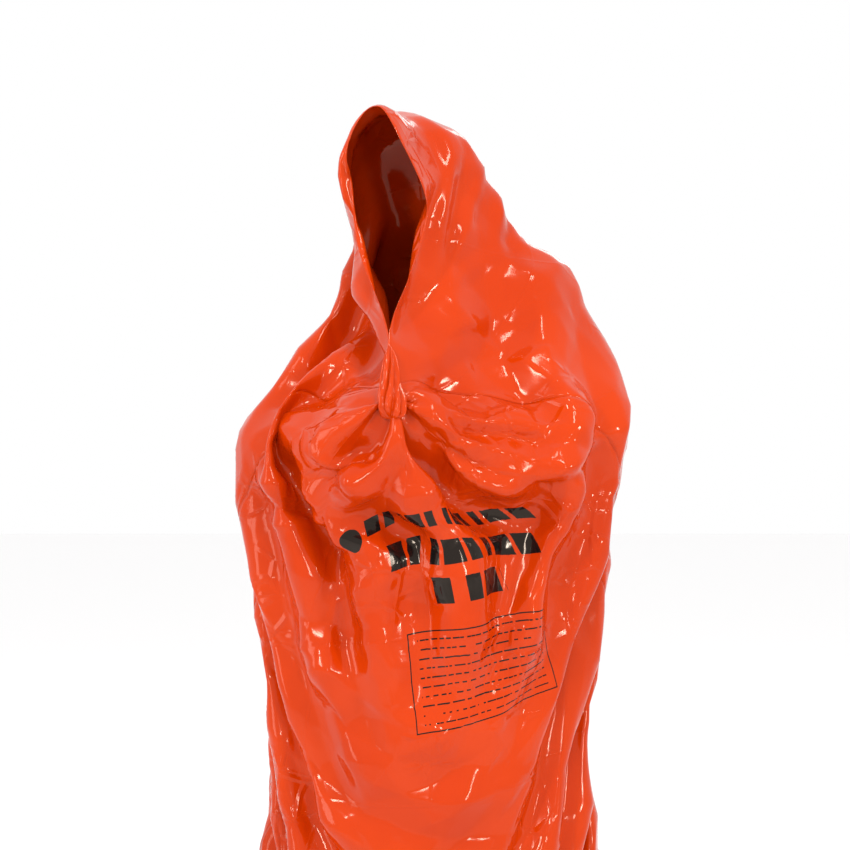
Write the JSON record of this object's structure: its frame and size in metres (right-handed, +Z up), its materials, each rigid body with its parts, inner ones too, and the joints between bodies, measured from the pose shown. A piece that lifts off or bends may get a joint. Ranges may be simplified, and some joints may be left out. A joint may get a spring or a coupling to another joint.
{
  "type": "bivy sack",
  "caption": "Orange polythene survival bag standing open as worn: welded foot end, tall film tube, hood drawn over a head-sized space and mouth bunched at the chest",
  "frame": {"origin": "the middle of the foot end, on the ground that the bag stands on", "axes": "+Z up along the bag, -Y towards the viewer of the printed front, +X towards the right of the printed front as seen from the front"},
  "size_m": [0.8519, 0.5411, 1.573],
  "materials": {
    "orange_film": "glossy orange polythene film, slightly translucent, with sharp creases",
    "welded_seam": "heat-sealed band of the same film, pressed flat and a little darker",
    "bunched_film": "the same film bunched into tight pleats",
    "black_ink": "black ink printed on the film, with its gloss"
  },
  "bodies": {
    "bag": {"foot_front_panel": "orange_film", "foot_back_panel": "orange_film", "foot_left_panel": "orange_film", "foot_right_panel": "orange_film", "lower_front_panel": "orange_film", "lower_back_panel": "orange_film", "lower_left_panel": "orange_film", "lower_right_panel": "orange_film", "upper_front_panel": "orange_film", "upper_back_panel": "orange_film", "upper_left_panel": "orange_film", "upper_right_panel": "orange_film", "foot_film_front": "orange_film", "foot_film_back": "orange_film", "foot_weld": "welded_seam", "mouth_gather": "bunched_film", "neck_drape": "orange_film", "print_bars": "black_ink", "print_disc": "black_ink", "notice_frame": "black_ink", "notice_rules": "black_ink"},
    "hood": {"hood_front": "orange_film", "hood_back": "orange_film", "hood_left": "orange_film", "hood_right": "orange_film", "hood_crown": "orange_film"}
  },
  "joints": [
    {"name": "hood_tilt", "type": "hinge", "parent": "bag", "child": "hood", "pos_m": [-0.045, -0.09, 1.25], "axis": [-0.8192, 0.5736, 0], "range_deg": [-6, 30], "deforming": ["neck_drape"]}
  ]
}
